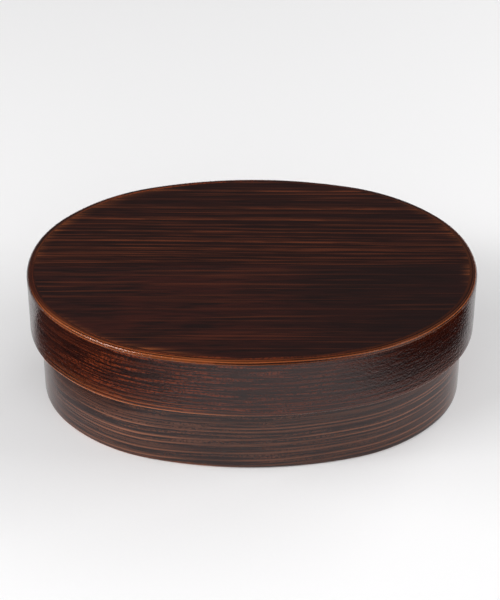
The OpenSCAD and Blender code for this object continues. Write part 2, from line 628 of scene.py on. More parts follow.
@dataclass(frozen=True)
class Tones:
    """Colours of wiped lacquer.

    Attributes:
        dark: Where it fills the grain.
        body: Its ground.
        line: Along a growth line.
        worn: Where it is rubbed through.
    """

    dark: Colour = (0.0080, 0.0012, 0.0008)
    body: Colour = (0.0280, 0.0038, 0.0016)
    line: Colour = (0.0850, 0.0135, 0.0040)
    worn: Colour = (0.4200, 0.1120, 0.0290)


# Grain of a plank, which runs along X

PLANK_SWAY = Noise((9.0, 30.0, 30.0))
PLANK_DRIFT = 2.5 * MM
PLANK_CLOUD = Noise((24.0, 80.0, 80.0), detail=3.0)
PLANK_FADE = Noise((16.0, 90.0, 90.0), detail=3.0)
PLANK_FINE = Noise((70.0, 760.0, 760.0), detail=1.0, rough=0.6)
PLANK_SHORT = Noise((9.0, 640.0, 640.0), rough=0.6)
PLANK_GATHER = Noise((10.0, 60.0, 60.0))

# How it shows in the lacquer

CLOUD_SHOWS = Ease(0.40, 0.66)
GROUND_SHOWS = Ease(0.35, 0.65, 0.0, 0.6)
LINES_FADE = Ease(0.34, 0.60, 0.30, 1.0)
LINES_BREAK = Ease(0.30, 0.60, 0.45, 1.0)
STREAKS_SHOW = Ease(0.53, 0.63)
STREAKS_GATHER = Ease(0.36, 0.60, 0.25, 1.0)
DARK_END = (60.0 * MM, -30.0 * MM)
MARKS_IN_DARK = Ease(0.0, 1.0, 0.4, 1.0)
WEAR_IN_CLOUD = Ease(0.0, 0.7, 0.70, 1.0)
RAGGED_WEAR = 3.0
RUBBED_THROUGH = Ease(0.05, 1.0)
PLANK_GLOSS = Ease(0.2, 0.8, 0.18, 0.28)
PLANK_RELIEF = 0.10 * MM


@dataclass(frozen=True)
class PlankFinish:
    """Wiped lacquer on a plank whose grain runs along the oval.

    Attributes:
        name: Name of the material.
        tones: Its colours.
        tilt: Angle of the grain from the long axis, in degrees.
        shift: Place in the grain, so that no two planks are alike.
        lines: Its growth lines.
        streaks: How clearly short streaks show, from 0 to 1.
        cloud: How clearly red patches show, from 0 to 1.
        dark_end: How much of the red is left at the right end, from 0 to 1.
    """

    name: str
    tones: Tones
    tilt: float
    shift: Triple
    lines: tuple[GrowthLine, ...]
    streaks: float
    cloud: float
    dark_end: float

    def material(self) -> Material:
        """Builds the material: the ground, then growth lines and streaks, then the rubbed edge.

        Returns:
            The new material.
        """
        g = Graph(self.name)
        turned = g.turned(g.place(), self.tilt)
        at = g.turned(turned, 0.0, self.shift)
        drift = g.times(g.less(g.noise(at, PLANK_SWAY), NOISE_MIDDLE), PLANK_DRIFT)
        grain = g.joined(g.axis(at, "X"), g.plus(g.axis(at, "Y"), drift), g.axis(at, "Z"))
        fine = g.noise(grain, PLANK_FINE)
        short = g.noise(grain, PLANK_SHORT)
        cloud = g.ease(g.noise(at, PLANK_CLOUD), CLOUD_SHOWS)
        shown = g.ease(g.axis(turned, "X"), Ease(*DARK_END, self.dark_end, 1.0))
        tone = g.plus(g.ease(fine, GROUND_SHOWS), g.times(cloud, self.cloud))
        colour = g.blend(g.times(tone, shown), self.tones.dark, self.tones.body)
        lines = g.growth(g.plus(g.axis(turned, "Y"), drift), self.lines)
        lines = g.times(lines, g.ease(g.noise(grain, PLANK_FADE), LINES_FADE), g.ease(fine, LINES_BREAK))
        gather = g.ease(g.noise(grain, PLANK_GATHER), STREAKS_GATHER)
        streaks = g.times(g.ease(short, STREAKS_SHOW), gather, self.streaks)
        marks = g.times(g.most(lines, streaks), g.ease(shown, MARKS_IN_DARK))
        colour = g.blend(marks, colour, self.tones.line)
        wear = g.times(g.attribute("wear"), g.ease(cloud, WEAR_IN_CLOUD))
        ragged = g.times(g.less(short, NOISE_MIDDLE), wear, RAGGED_WEAR)
        colour = g.blend(g.ease(g.plus(wear, ragged), RUBBED_THROUGH), colour, self.tones.worn)
        height = g.times(g.plus(short, fine), 0.5)
        return g.surface(colour, g.ease(fine, PLANK_GLOSS), g.bump(height, PLANK_RELIEF))


# Grain of a hoop, which runs round the oval and climbs along X, less so above the lower part

HOOP_SWAY = Noise((16.0, 16.0, 40.0))
HOOP_DRIFT = 1.8 * MM
HOOP_PATCH = Noise((26.0, 26.0, 60.0))
HOOP_FADE = Noise((30.0, 30.0, 220.0))
HOOP_FINE = Noise((160.0, 160.0, 1300.0), detail=1.0, rough=0.6)
HOOP_THIN = Noise((14.0, 14.0, 700.0), rough=0.7)
HOOP_SHORT = Noise((45.0, 45.0, 1000.0), rough=0.6)
HOOP_BUMPS = Noise((900.0, 900.0, 1000.0), detail=1.0)
CLIMB_RUN = Ease(-85.0 * MM, 60.0 * MM)
CLIMB_LESSENS = (14.0 * MM, 24.0 * MM)
CLIMB_KEPT = 0.4

# How it shows in the lacquer, with the places along X in metres

HOOP_GROUND = Ease(0.25, 0.75)
HOOP_GROUND_RIGHT = Ease(85.0 * MM, 0.0, 0.4, 1.0)
HOOP_LINES_FADE = Ease(0.30, 0.55, 0.45, 1.0)
# Painted highlight: growth lines brightest near X = -55 mm, where the key light catches them, dimmer at the
# left end and right of the middle.
LINE_HIGHLIGHT_LEFT = Ease(-82.0 * MM, -52.0 * MM, 0.25, 1.0)
LINE_HIGHLIGHT_RIGHT = Ease(-55.0 * MM, -15.0 * MM, 1.0, 0.55)
THREADS_SHOW = Ease(0.50, 0.68)
THREADS_RIGHT = Ease(80.0 * MM, 0.0, 0.35, 1.0)
HOOP_STREAKS_SHOW = Ease(0.49, 0.61)
HOOP_STREAKS_LEFT = Ease(-85.0 * MM, -58.0 * MM, 0.10, 1.0)
HOOP_STREAKS_PATCH = Ease(0.34, 0.64, 0.60, 1.0)
HOOP_STREAKS_SPECKLE = Ease(0.38, 0.58, 0.25, 1.0)
PALE_END = (70.0 * MM, -40.0 * MM)
THREADS_RUBBED = Ease(0.48, 0.66, 0.05, 0.50)
HOOP_GLOSS = Ease(0.2, 0.8, 0.12, 0.20)
BUMPS_HEIGHT = 0.6
SHORT_HEIGHT = 0.4


@dataclass(frozen=True)
class HoopFinish:
    """Wiped lacquer on a bent strip whose grain runs round the oval.

    Attributes:
        name: Name of the material.
        tones: Its colours.
        lines: Its growth lines.
        rubbed: Lines along the edges where the lacquer is rubbed through, which on the lid's rim also paint
            a highlight.
        faint: Lines beside them that show only where it is rubbed most.
        threads: How clearly other thin lines show, from 0 to 1.
        streaks: How clearly short red streaks show, from 0 to 1.
        pale_end: How much of the streaks is left at the right end, from 0 to 1.
        climb: How far the grain climbs from the left end to the right end.
        pebble: Depth of the orange-peel relief.
    """

    name: str
    tones: Tones
    lines: tuple[GrowthLine, ...]
    rubbed: tuple[GrowthLine, ...]
    faint: tuple[GrowthLine, ...]
    threads: float
    streaks: float
    pale_end: float
    climb: float
    pebble: float

    def material(self) -> Material:
        """Builds the material: the ground, then lines with a painted highlight on the left quarter, threads
        and streaks, then the rubbed edges.

        Returns:
            The new material.
        """
        g = Graph(self.name)
        at = g.place()
        along = g.axis(at, "X")
        drift = g.times(g.less(g.noise(at, HOOP_SWAY), NOISE_MIDDLE), HOOP_DRIFT)
        girth = g.plus(g.attribute("girth"), drift)
        slope = g.ease(girth, Ease(*CLIMB_LESSENS, self.climb, CLIMB_KEPT * self.climb))
        level = g.less(girth, g.times(slope, g.ease(along, CLIMB_RUN)))
        grain = g.joined(along, g.axis(at, "Y"), level)
        fine = g.noise(grain, HOOP_FINE)
        thin = g.noise(grain, HOOP_THIN)
        short = g.noise(grain, HOOP_SHORT)
        bumps = g.noise(grain, HOOP_BUMPS)
        tone = g.times(g.ease(fine, HOOP_GROUND), g.ease(along, HOOP_GROUND_RIGHT))
        colour = g.blend(tone, self.tones.dark, self.tones.body)
        fade = g.ease(g.noise(grain, HOOP_FADE), HOOP_LINES_FADE)
        # Painted highlight on the growth lines, strongest near X = -55 mm.
        painted_line_highlight = g.times(g.ease(along, LINE_HIGHLIGHT_LEFT), g.ease(along, LINE_HIGHLIGHT_RIGHT))
        lines = g.times(g.growth(level, self.lines), fade, painted_line_highlight)
        threads = g.times(g.ease(thin, THREADS_SHOW), g.ease(along, THREADS_RIGHT), self.threads)
        patch = g.ease(g.noise(at, HOOP_PATCH), HOOP_STREAKS_PATCH)
        ends = g.times(g.ease(along, Ease(*PALE_END, self.pale_end, 1.0)), g.ease(along, HOOP_STREAKS_LEFT))
        speckle = g.ease(bumps, HOOP_STREAKS_SPECKLE)
        streaks = g.times(g.ease(short, HOOP_STREAKS_SHOW), patch, ends, speckle, self.streaks)
        colour = g.blend(g.most(lines, threads, streaks), colour, self.tones.line)
        wear = g.attribute("wear")
        faint = g.most(g.growth(girth, self.faint), g.ease(thin, THREADS_RUBBED))
        # The lid's line on the rim's rounding is rubbed lacquer and a painted highlight as well.
        bare = g.most(g.growth(girth, self.rubbed), g.times(faint, wear))
        colour = g.blend(g.times(bare, wear), colour, self.tones.worn)
        height = g.plus(g.times(bumps, BUMPS_HEIGHT), g.times(short, SHORT_HEIGHT))
        return g.surface(colour, g.ease(fine, HOOP_GLOSS), g.bump(height, self.pebble))


BARK_DASHES = Noise((260.0, 260.0, 2200.0), rough=0.6)
BARK_PATCH = Noise((120.0, 120.0, 300.0))
DASHES_SHOW = Ease(0.20, 0.42)
BARK_GLOSS = Ease(0.2, 0.8, 0.22, 0.36)
BARK_RELIEF = 0.08 * MM


@dataclass(frozen=True)
class BarkFinish:
    """Polished bark with pale dashes across the strip.

    Attributes:
        name: Name of the material.
        dark: Its ground.
        pale: Its dashes.
    """

    name: str = "polished_bark"
    dark: Colour = (0.070, 0.0220, 0.0110)
    pale: Colour = (0.240, 0.0850, 0.0380)

    def material(self) -> Material:
        """Builds the material.

        Returns:
            The new material.
        """
        g = Graph(self.name)
        at = g.place()
        dashes = g.noise(at, BARK_DASHES)
        shown = g.ease(g.times(dashes, g.noise(at, BARK_PATCH)), DASHES_SHOW)
        colour = g.blend(shown, self.dark, self.pale)
        return g.surface(colour, g.ease(dashes, BARK_GLOSS), g.bump(dashes, BARK_RELIEF))


Finish = PlankFinish | HoopFinish | BarkFinish


# Pieces

HOOP_WALL = 4.0 * MM
MESH_STEP = 2.5 * MM

# Where a hoop's rim is rubbed, in radii past its middle, and its base, in shares of the half length

RIM_RUB_BEGINS = Ease(-0.9, -0.65)
RIM_RUB_ENDS = Ease(0.7, 1.3, 1.0, 0.0)
RING_SOFTENED = Ease(0.6, 1.1, 0.0, 0.35)
BASE_RUBBED = Ease(0.1, -0.4, 0.25, 1.0)

# Where a plank's edge is rubbed, in shares of its band, and along it, in shares of the half length

EDGE_RUBBED = Ease(-0.3, 0.38, 1.0, 0.0)
EDGE_SOFTENED = Ease(-0.3, 0.55, 0.66, 0.0)
EDGE_RUBBED_LEFT = Ease(-0.05, -0.40, 0.3, 1.0)
EDGE_SPARED_LEFT_END = Ease(-0.45, -0.70, 1.0, 0.7)
EDGE_RUB_POWER = 1.5


@dataclass(frozen=True)
class Owner:
    """Where a piece belongs.

    Attributes:
        node: The CAD node that it stands for.
        body: The body that it rides on.
        slot: Its material slot; not used.
    """

    node: str
    body: str
    slot: str

    def claim(self, piece: Piece, material: Material) -> None:
        """Gives a finished piece its material and body, and hides the CAD node that it stands for.

        Args:
            piece: Finished object, at the origin.
            material: Its finish.
        """
        piece.data.materials.clear()
        piece.data.materials.append(material)
        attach(piece, self.body)
        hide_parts(self.node)


@dataclass
class Part:
    """What every piece of the box has.

    Attributes:
        owner: Where it belongs.
        finish: Its lacquer or bark.
    """

    owner: Owner
    finish: Finish

    def shape(self) -> Piece:
        """Makes the piece's mesh, which each kind of piece does in its own way."""
        raise NotImplementedError

    def build(self) -> Piece:
        """Shapes the piece, dresses it and sets it on its body.

        Returns:
            The finished object.
        """
        piece = self.shape()
        smooth(piece)
        self.owner.claim(piece, self.finish.material())
        return piece


@dataclass
class BentHoop(Part):
    """A strip bent round the oval, with a rabbet for its board and a lap at the back.

    Attributes:
        oval: Outline of the lid's outside.
        outer: Inset of its outside.
        low: Height of its lower edge.
        high: Height of its upper edge.
        ledge: Height of the rabbet's ledge.
        board_above: Whether the board lies above the ledge.
        rim: Rounding of its upper outer edge.
        reach: How far up from its lower edge it is rubbed.
        wall: Thickness of the strip.
        rabbet: Depth of the rabbet.
        edge: Rounding of its other edges.
        lap: Length of the lap at the back.
        step: Longest step of its mesh.
        score: Depth of the fine line where an end of the strip stops, and half of its width.
        rim_segments: Steps round the upper outer edge.
        edge_segments: Steps round the other edges.
    """

    oval: Oval
    outer: float
    low: float
    high: float
    ledge: float
    board_above: bool
    rim: float
    reach: float
    wall: float = HOOP_WALL
    rabbet: float = 0.8 * MM
    edge: float = 0.8 * MM
    lap: float = 36.0 * MM
    step: float = MESH_STEP
    score: float = 0.15 * MM
    rim_segments: int = 10
    edge_segments: int = 5

    def girth(self, point: Vector) -> float:
        """Measures up the outside from the lower edge to a point, and on over the rim."""
        return point.z + self.oval.inset(point) - self.outer - self.low

    def wear(self, point: Vector) -> float:
        """Says how rubbed the lacquer is at a point of the strip; towards the right end it also paints a
        highlight.

        Args:
            point: Place on the strip.

        Returns:
            A share from 0 to 1.
        """
        along, _ = self.oval.shares(point)
        past_rim = (self.girth(point) + self.low - self.high) / self.rim
        top = RIM_RUB_BEGINS.at(past_rim) * RIM_RUB_ENDS.at(past_rim)
        base = Ease(self.low + self.edge, self.low + self.reach, 1.0, 0.0).at(point.z)
        base *= BASE_RUBBED.at(along)
        softened = RING_SOFTENED.at(past_rim) * self.oval.held_and_right_highlight(point)
        return max(max(top, base) * self.oval.rubbing_and_right_highlight(point), softened)

    def section(self) -> Piece:
        """Makes the outline of the strip's section at the middle of the back.

        Returns:
            The new object in edit mode, with its edges selected.
        """
        outside = self.oval.half_width - self.outer
        inside = outside - self.wall
        seat = inside + self.rabbet
        piece = upright_plane(self.owner.node + "_bent", inside, outside, self.low, self.high)
        for point, normal in (((0.0, 0.0, self.ledge), UPWARDS), ((0.0, seat, 0.0), ALONG_Y)):
            bpy.ops.mesh.select_all(action="SELECT")
            bpy.ops.mesh.bisect(plane_co=point, plane_no=normal)
        beyond = 1.0 if self.board_above else -1.0
        slack = 0.01 * MM
        pick(piece, Pick.FACES, lambda p: p.y < seat + slack and beyond * (p.z - self.ledge) > -slack)
        bpy.ops.mesh.delete(type="FACE")
        bpy.ops.mesh.select_all(action="SELECT")
        bpy.ops.mesh.dissolve_faces()
        open_end = self.low if self.board_above else self.high
        round_corner(piece, outside, self.high, self.rim, self.rim_segments)
        round_corner(piece, outside, self.low, self.edge, self.edge_segments)
        round_corner(piece, inside, open_end, self.edge, self.edge_segments)
        bpy.ops.mesh.select_all(action="SELECT")
        bpy.ops.mesh.delete(type="ONLY_FACE")
        split_long_edges(piece, self.step)
        bpy.ops.mesh.select_all(action="SELECT")
        return piece

    def score_lap(self, piece: Piece, x: float, inset: float, low: float, high: float) -> None:
        """Scores the fine line where one end of the strip stops, at the back.

        Args:
            piece: The strip, in edit mode.
            x: Place of the line along the back.
            inset: Inset of the face that it is scored in.
            low: Height of its lower end.
            high: Height of its upper end.
        """
        slack = 0.05 * MM

        def on_face(p: Vector, reach: float) -> bool:
            """Says whether a corner lies on the scored face, within reach of the line."""
            level = low - slack < p.z < high + slack
            return p.y > 0 and level and abs(p.x - x) < reach and near(self.oval.inset(p), inset, slack)

        pick(piece, Pick.FACES, lambda p: on_face(p, 2.0 * self.step))
        bpy.ops.mesh.bisect(plane_co=(x, 0.0, 0.0), plane_no=(1.0, 0.0, 0.0))
        pick(piece, Pick.EDGES, lambda p: on_face(p, slack))
        bpy.ops.mesh.bevel(offset=self.score, segments=2, affect="EDGES")
        pick(piece, Pick.VERTS, lambda p: on_face(p, slack) and low + slack < p.z < high - slack)
        inwards = self.score if inset > self.outer else -self.score
        bpy.ops.transform.translate(value=(0.0, inwards, 0.0))

    def shape(self) -> Piece:
        """Bends the strip round the oval and scores its lap.

        Returns:
            The new object, with its wear and girth painted on.
        """
        piece = self.section()
        self.oval.spin_round(self.step)
        merge_meeting_corners()
        self.score_lap(piece, -self.lap / 2, self.outer, self.low + self.edge, self.high - self.rim)
        inner_low = self.low + self.edge if self.board_above else self.ledge
        inner_high = self.ledge if self.board_above else self.high - self.edge
        self.score_lap(piece, self.lap / 2, self.outer + self.wall, inner_low, inner_high)
        close_up()
        paint(piece, "wear", self.wear)
        paint(piece, "girth", self.girth)
        return piece


@dataclass
class OvalPlank(Part):
    """Half of an oval board, in front of or behind its glued joint.

    Attributes:
        oval: Outline of the lid's outside.
        inset: Inset of the board's edge.
        low: Height of its underside.
        high: Height of its top.
        half: Which half it is.
        worn: How far the lacquer is rubbed along its outer edge, from 0 to 1.
        band: Width of the band along its edge that has its own faces.
        step: Longest step of its mesh round the oval.
        band_step: Longest step of its mesh across the band.
    """

    oval: Oval
    inset: float
    low: float
    high: float
    half: Half
    worn: float
    band: float = 14.0 * MM
    step: float = MESH_STEP
    band_step: float = 1.5 * MM

    def wear(self, point: Vector) -> float:
        """Says how rubbed the lacquer is at a point; towards the right end it also paints a highlight.

        Args:
            point: Place on the plank.

        Returns:
            A share from 0 to 1, most at the edge and fading over the band.
        """
        along, _ = self.oval.shares(point)
        depth = (self.oval.inset(point) - self.inset) / self.band
        fade = EDGE_RUBBED.at(depth) * EDGE_RUBBED_LEFT.at(along) * EDGE_SPARED_LEFT_END.at(along)
        rubbed = fade * self.oval.rubbing_and_right_highlight(point) ** EDGE_RUB_POWER
        return self.worn * max(rubbed, EDGE_SOFTENED.at(depth) * self.oval.held_and_right_highlight(point))

    def shape(self) -> Piece:
        """Makes the board's edge band, fills it and keeps one half.

        Returns:
            The new object, with its wear painted on.
        """
        edge = self.oval.half_width - self.inset
        piece = upright_plane(self.owner.node + "_board", edge - self.band, edge, self.low, self.high)
        bpy.ops.mesh.delete(type="ONLY_FACE")
        split_long_edges(piece, self.band_step)
        pick(piece, Pick.EDGES, lambda p: near(p.y, edge - self.band))
        bpy.ops.mesh.delete(type="EDGE")
        bpy.ops.mesh.select_all(action="SELECT")
        self.oval.spin_round(self.step)
        merge_meeting_corners()
        bpy.ops.mesh.fill_holes(sides=0)
        bpy.ops.mesh.select_all(action="SELECT")
        behind = self.half is Half.BACK
        bpy.ops.mesh.bisect(
            plane_co=(0.0, 0.0, 0.0), plane_no=ALONG_Y, use_fill=True,
            clear_inner=behind, clear_outer=not behind)
        close_up()
        paint(piece, "wear", self.wear)
        return piece


@dataclass
class DividerBoard(Part):
    """Upright board across the box, with half-round ends and eased edges.

    Attributes:
        low: Its left front bottom corner.
        high: Its right back top corner.
        eased: Rounding of its edges.
        reach: How far down from its top it is rubbed.
        worn: How far the lacquer is rubbed along its top, from 0 to 1.
        end_round: Rounding of its ends for each unit of thickness, just short of half.
        end_segments: Steps round a corner of its plan.
        edge_segments: Steps round an edge.
    """

    low: Vector
    high: Vector
    eased: float = 0.8 * MM
    reach: float = 1.6 * MM
    worn: float = 0.6
    end_round: float = 0.49
    end_segments: int = 8
    edge_segments: int = 4

    def shape(self) -> Piece:
        """Makes the board from its plan by rounding the ends, raising it and easing its edges.

        Returns:
            The new object, with its wear painted on.
        """
        size = self.high - self.low
        middle = (self.low + self.high) / 2
        piece = plane(self.owner.node + "_eased", size, Vector((middle.x, middle.y, self.low.z)))
        bpy.ops.mesh.select_all(action="SELECT")
        bpy.ops.mesh.bevel(offset=self.end_round * size.x, segments=self.end_segments, affect="VERTICES")
        bpy.ops.mesh.extrude_region_move(TRANSFORM_OT_translate={"value": (0.0, 0.0, size.z)})
        for height in (self.low.z, self.high.z):
            pick(piece, Pick.EDGES, lambda p: near(p.z, height))
            bpy.ops.mesh.bevel(offset=self.eased, segments=self.edge_segments, affect="EDGES")
        rubbed = Ease(self.high.z - self.reach, self.high.z, 0.0, self.worn)
        bpy.ops.mesh.select_all(action="SELECT")
        bpy.ops.mesh.bisect(plane_co=(0.0, 0.0, rubbed.begin), plane_no=UPWARDS)
        close_up()
        paint(piece, "wear", lambda p: rubbed.at(p.z))
        return piece


@dataclass
class BarkLacing(Part):
    """Bark strip laced through the lap: a stitch outside at each height, slanting runs inside.

    Attributes:
        oval: Outline of the lid's outside.
        outer: Inset of the hoop's outside.
        heights: Middles of the stitches, evenly spaced.
        wall: Thickness of the hoop.
        width: Width of the strip.
        thick: Thickness of the strip.
        span: Length of a stitch along the hoop.
        proud: How far a stitch stands out of the hoop.
        tuck: How far the ends of a stitch turn into the hoop.
        inner_proud: How far a slanting run stands out of the hoop, inside.
        inner_tuck: How far its ends turn into the hoop.
        rounding: Rounding of the strip's edges for each unit of thickness.
        edge_segments: Steps round an edge.
        segments: Steps along a run.
        tucked_from: Distance of the tucked ends from the middle, for each unit of span.
    """

    oval: Oval
    outer: float
    heights: list[float]
    wall: float = HOOP_WALL
    width: float = 4.2 * MM
    thick: float = 0.6 * MM
    span: float = 9.6 * MM
    proud: float = 0.15 * MM
    tuck: float = 0.35 * MM
    inner_proud: float = 0.06 * MM
    inner_tuck: float = 0.175 * MM
    rounding: float = 0.4
    edge_segments: int = 3
    segments: int = 8
    tucked_from: float = 0.42

    def run(self, face: float, rise: float, tuck: float) -> Piece:
        """Makes one flat run of bark that follows the back of the hoop, with its middle at height 0.

        Args:
            face: Y of its outer face at the middle of the back.
            rise: How far it climbs from its left end to its right end.
            tuck: How far its ends turn into the hoop, along Y.

        Returns:
            The new object.
        """
        half = self.width / 2
        piece = upright_plane("bark_run", face - self.thick, face, -half, half)
        for y in (face, face - self.thick):
            for z in (-half, half):
                round_corner(piece, y, z, self.rounding * self.thick, self.edge_segments)
        center = self.oval.side_center()
        turn = self.span / (face - center.y)
        bpy.ops.mesh.select_all(action="SELECT")
        bpy.ops.transform.rotate(
            value=-turn / 2, orient_axis="Z", center_override=center, constraint_axis=(False, False, True))
        bpy.ops.mesh.spin(steps=self.segments, angle=turn, center=center, axis=SPIN_AXIS)
        pick(piece, Pick.VERTS, lambda p: abs(p.x) > self.tucked_from * self.span)
        bpy.ops.transform.translate(value=(0.0, tuck, 0.0))
        close_up()
        for vertex in piece.data.vertices:
            vertex.co.z += rise * vertex.co.x / self.span
        return piece

    def copies(self, run: Piece, heights: list[float]) -> list[Piece]:
        """Copies a run to all the heights, each copy with its own mesh.

        Args:
            run: The run, which becomes the first of them.
            heights: Middles of the runs.

        Returns:
            The runs, each moved to its height.
        """
        runs = [run]
        while len(runs) < len(heights):
            select_only(run)
            bpy.ops.object.duplicate(linked=False)
            runs.append(bpy.context.active_object)
        for piece, height in zip(runs, heights):
            piece.location.z = height
        return runs

    def shape(self) -> Piece:
        """Makes a run for each side of the hoop, copies both and joins all of them.

        Returns:
            The new object.
        """
        outside = self.oval.half_width - self.outer
        inside = outside - self.wall + self.thick
        pitch = self.heights[1] - self.heights[0]
        middles = [height + pitch / 2 for height in self.heights[:-1]]
        runs = self.copies(self.run(outside + self.proud, 0.0, -self.tuck), self.heights)
        runs += self.copies(self.run(inside - self.inner_proud, pitch, self.inner_tuck), middles)
        select_only(*runs)
        bpy.ops.object.transform_apply(location=True, rotation=True, scale=True)
        bpy.ops.object.join()
        piece = bpy.context.active_object
        name_piece(piece, self.owner.node + "_bark")
        return piece


# Stage

FLOOR_SIZE = 8.0
FLOOR_LEVEL = -0.1 * MM
CARD_LEVEL = -0.05 * MM
BOX_MIDDLE = Vector((0.0, 0.0, 0.03))
PAPER_TOOTH = Noise((900.0, 900.0, 900.0))
PAPER_SHADE = 0.985
PAPER_ROUGHNESS = 0.9
PAPER_RELIEF = 0.02 * MM
CARD_NAP = Noise((400.0, 400.0, 400.0))
CARD_DARK = (0.008, 0.008, 0.008)
CARD_PALE = (0.012, 0.012, 0.012)
WHITE = (1.0, 1.0, 1.0, 1.0)


@dataclass(frozen=True)
class PhotoCamera:
    """Camera at the photograph's viewing angle.

    Attributes:
        elevation: Height above the horizon, in degrees.
        azimuth: Turn round the object, in degrees.
        roll: Tilt of the picture, in degrees.
        distance: Distance to the point looked at.
        focal_pixels: Focal length in pixels of the picture.
        aim_right: Offset of the point looked at, to the right in the picture.
        aim_up: Offset of the point looked at, upwards in the picture.
        picture_height: Longer side of the picture, in pixels.
        sensor: Longer side of the sensor, in millimetres.
        nearest: Distance from which things show.
        farthest: Distance to which things show.
    """

    elevation: float = 38.2546
    azimuth: float = -0.7789
    roll: float = 0.2231
    distance: float = 0.9057062
    focal_pixels: float = 2115.8481
    aim_right: float = -0.0006562
    aim_up: float = 0.0324593
    picture_height: float = 600.0
    sensor: float = 36.0
    nearest: float = 0.01
    farthest: float = 20.0

    def build(self) -> Piece:
        """Makes the camera and gives it to the scene.

        Returns:
            The camera.
        """
        data = bpy.data.cameras.new("photo_camera")
        data.sensor_fit = "AUTO"
        data.sensor_width = self.sensor
        data.lens = self.focal_pixels / self.picture_height * self.sensor
        data.clip_start = self.nearest
        data.clip_end = self.farthest
        e, a, r = (math.radians(angle) for angle in (self.elevation, self.azimuth, self.roll))
        back = Vector((math.sin(a) * math.cos(e), -math.cos(a) * math.cos(e), math.sin(e)))
        right = Vector((math.cos(a), math.sin(a), 0.0))
        up = back.cross(right)
        right, up = right * math.cos(r) + up * math.sin(r), up * math.cos(r) - right * math.sin(r)
        camera = bpy.data.objects.new("photo_camera", data)
        bpy.context.scene.collection.objects.link(camera)
        camera.matrix_world = Matrix((right, up, back)).transposed().to_4x4()
        camera.matrix_world.translation = self.aim_right * right + self.aim_up * up + self.distance * back
        bpy.context.scene.camera = camera
        return camera


@dataclass(frozen=True)
class SoftBox:
    """A studio light aimed at the box.

    Attributes:
        name: Name of the light.
        place: Place of its middle.
        width: Its width.
        height: Its height.
        power: Its power, in watts.
        shines: Whether it shows in the shine of the lacquer.
    """

    name: str
    place: Triple
    width: float
    height: float
    power: float
    shines: bool

    def build(self) -> Piece:
        """Makes the light and turns it to the middle of the box.

        Returns:
            The light.
        """
        data = bpy.data.lights.new(self.name, "AREA")
        data.shape = "RECTANGLE"
        data.size = self.width
        data.size_y = self.height
        data.energy = self.power
        lamp = bpy.data.objects.new(self.name, data)
        bpy.context.scene.collection.objects.link(lamp)
        lamp.location = self.place
        lamp.visible_glossy = self.shines
        lamp.rotation_mode = "QUATERNION"
        lamp.rotation_quaternion = (BOX_MIDDLE - Vector(self.place)).to_track_quat("-Z", "Y")
        return lamp


@dataclass(frozen=True)
class Card:
    """Black card with a soft edge, laid on the floor beside the box, that only shows in its shine, as a
    painted dark reflection on the hoops' sides.

    Attributes:
        name: Name of the card.
        rows: Front, middle and back: Y, X where it starts to show, X where it is fully black.
        black: How much of the floor it hides where it is fully black, from 0 to 1.
        width: Width of the black, away from the box.
    """

    name: str
    rows: tuple[Triple, Triple, Triple]
    black: float
    width: float = 0.50

    def material(self) -> Material:
        """Builds the card's dull black, which fades out where its shade does.

        Returns:
            The new material.
        """
        g = Graph("black_" + self.name)
        nap = g.noise(g.place(), CARD_NAP)
        dull = g.add("ShaderNodeBsdfDiffuse", 0, {"Color": g.blend(nap, CARD_DARK, CARD_PALE)})
        clear = g.add("ShaderNodeBsdfTransparent", 0)
        return g.ended(g.add("ShaderNodeMixShader", 0, {0: g.attribute("shade"), 1: clear, 2: dull}))

    def build(self) -> Piece:
        """Lays the card on the floor.

        Returns:
            The card.
        """
        bpy.ops.object.select_all(action="DESELECT")
        bpy.ops.mesh.primitive_grid_add(x_subdivisions=2, y_subdivisions=2, size=2.0)
        card = bpy.context.active_object
        card.name = self.name
        shades = []
        for vertex in card.data.vertices:
            column, row = round(vertex.co.x) + 1, round(vertex.co.y) + 1
            y, start, full = self.rows[row]
            x = (start, full, full + math.copysign(self.width, full))[column]
            vertex.co = (x, y, CARD_LEVEL)
            shades.append(self.black if column > 0 else 0.0)
        card.data.attributes.new("shade", "FLOAT", "POINT").data.foreach_set("value", shades)
        card.data.materials.append(self.material())
        # Painted dark reflection: only the lacquer's shine sees the card.
        card.visible_camera = False
        card.visible_diffuse = False
        card.visible_shadow = False
        card.visible_transmission = False
        return card


